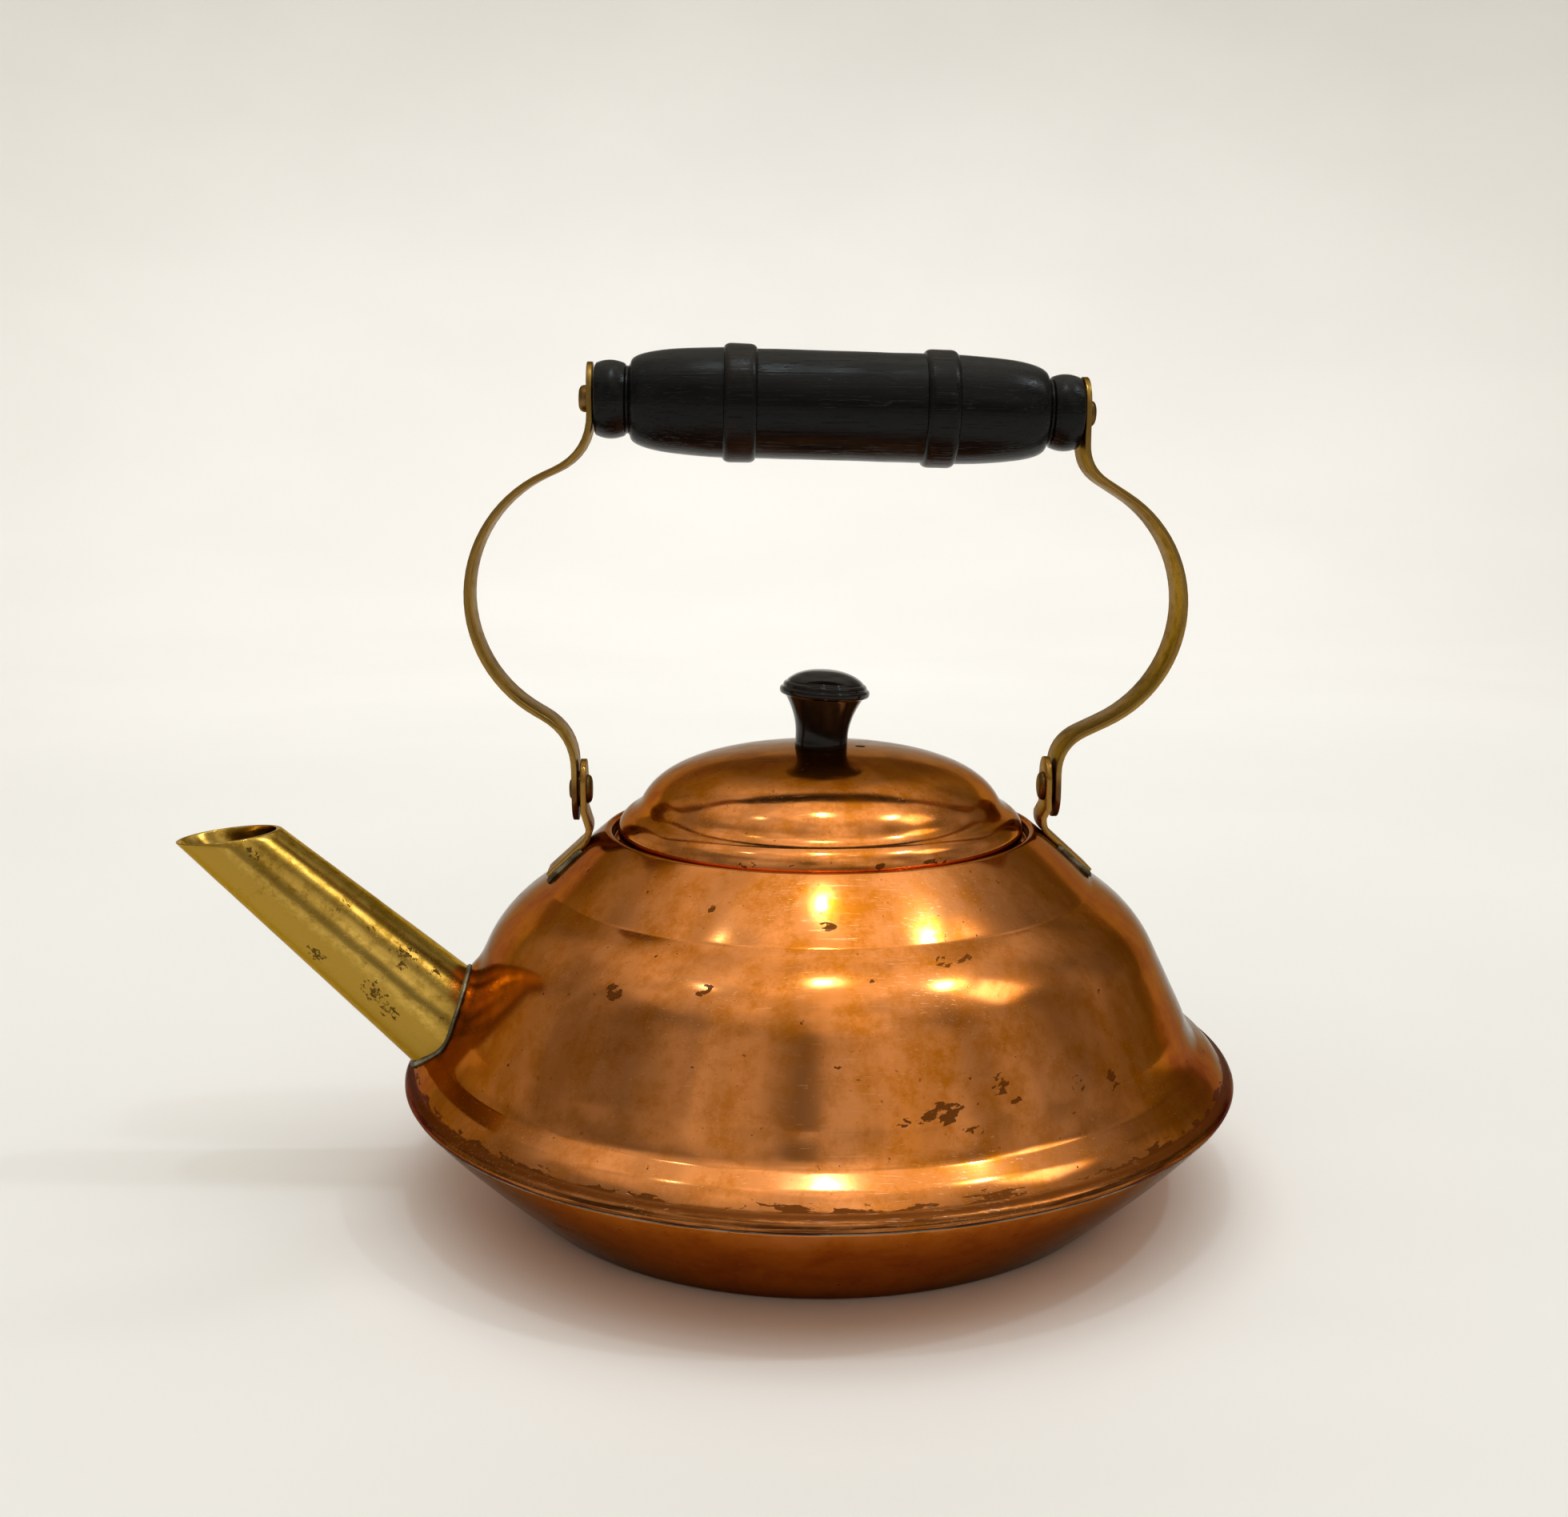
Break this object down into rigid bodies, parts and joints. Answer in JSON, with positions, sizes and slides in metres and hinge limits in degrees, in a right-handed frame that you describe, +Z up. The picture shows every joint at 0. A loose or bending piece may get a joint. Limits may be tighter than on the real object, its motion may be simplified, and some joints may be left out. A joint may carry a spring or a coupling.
{
  "type": "tea kettle",
  "caption": "Copper stovetop tea kettle with a brass spout, a lift-off domed lid and a swinging strap bail with a turned grip.",
  "frame": {"origin": "centre of the flat base, on the surface that the kettle stands on", "axes": "+Z up; -X towards the spout; the bail swings about a line parallel to X"},
  "size_m": [0.2412, 0.1934, 0.1929],
  "materials": {
    "copper": "polished copper with worn patches",
    "tinned_copper": "tinned",
    "bright_brass": "polished, lightly pitted",
    "strap_brass": "dull, aged",
    "dark_brass": "tarnished",
    "solder": "dull grey",
    "steel": "plain",
    "knob_black": "glossy",
    "black_wood": "black stain, satin, worn"
  },
  "bodies": {
    "kettle": {"upper_shell": "copper", "base_pan": "copper", "seam_solder": "solder", "spout_tube": "bright_brass", "spout_solder": "solder", "lug_left": "strap_brass", "lug_right": "strap_brass", "lug_solder_left": "solder", "lug_solder_right": "solder", "pivot_rivet_left": "dark_brass", "pivot_rivet_right": "dark_brass", "pivot_washer_left": "dark_brass", "pivot_washer_right": "dark_brass"},
    "lid": {"lid_dome": "copper", "lid_collar": "tinned_copper", "knob": "knob_black", "knob_screw": "steel", "knob_washer": "strap_brass"},
    "bail": {"strap_left": "strap_brass", "strap_right": "strap_brass", "grip_rod": "dark_brass"},
    "grip": {"grip": "black_wood"}
  },
  "joints": [
    {"name": "bail_swing", "type": "hinge", "parent": "kettle", "child": "bail", "pos_m": [0, 0, 0.0922], "axis": [1, 0, 0], "range_deg": [-104.5, 104.5]},
    {"name": "grip_spin", "type": "hinge", "parent": "bail", "child": "grip", "pos_m": [0.0038, 0, 0.1793], "axis": [0.9997, 0, -0.0227], "continuous": true},
    {"name": "lid_lift", "type": "slide", "parent": "kettle", "child": "lid", "axis": [0, 0, 1], "range_m": [0, 0.04]}
  ]
}
